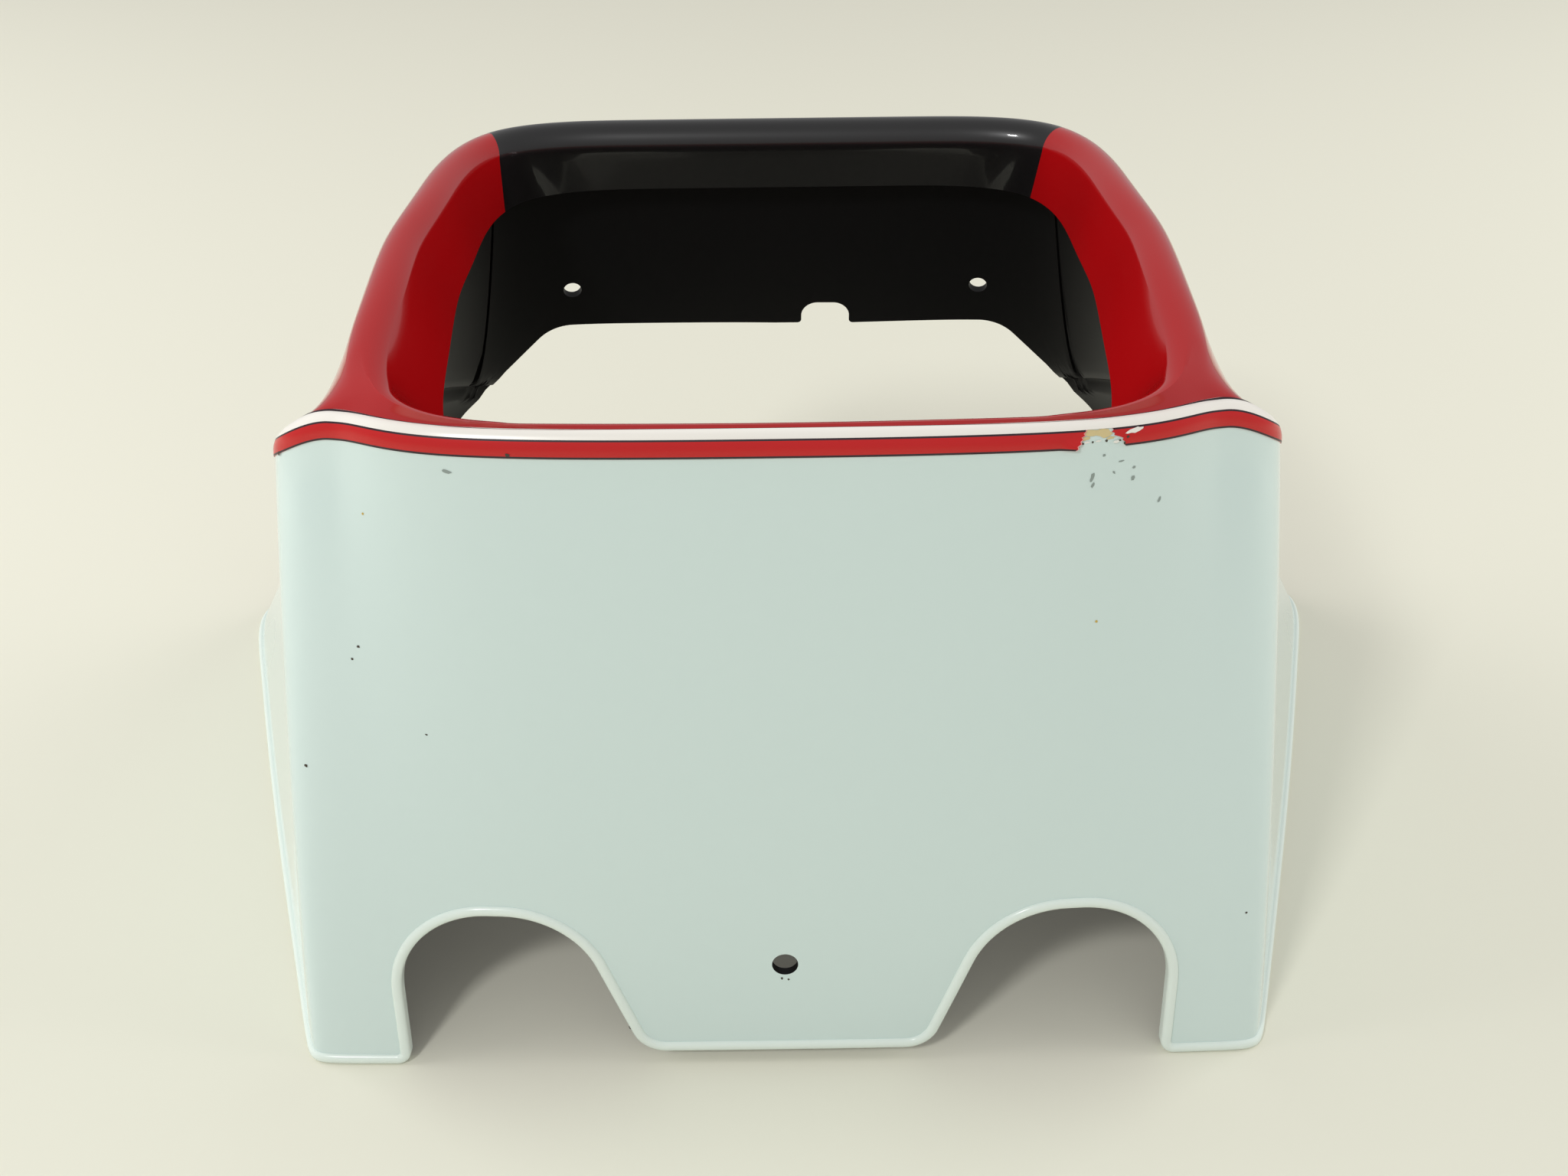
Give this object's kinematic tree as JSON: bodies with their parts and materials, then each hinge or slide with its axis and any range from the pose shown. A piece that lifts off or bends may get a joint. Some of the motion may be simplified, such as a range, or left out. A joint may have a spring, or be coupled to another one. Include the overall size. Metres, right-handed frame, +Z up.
{
  "type": "motorcycle front fairing",
  "caption": "Motorcycle front fairing: tapering moulded shell with a rolled rim round a rectangular headlight opening, a taped shoulder and a front panel with arched cut-outs and a tongue",
  "frame": {"origin": "middle of the footprint, on the floor the free edge stands on", "axes": "+Z up towards the headlight opening, -Y towards the front panel, +X to the panel's right as seen in the picture"},
  "size_m": [0.4468, 0.2634, 0.2375],
  "materials": {
    "shell": "gloss white panel and sides, gloss red shoulder and rim, satin black rear of the rim and inside",
    "white_tape": "gloss adhesive tape",
    "red_tape": "gloss adhesive tape, torn near one corner"
  },
  "bodies": {
    "root": {"fairing_shell": "shell", "white_stripe": "white_tape", "red_stripe": "red_tape"}
  },
  "joints": []
}
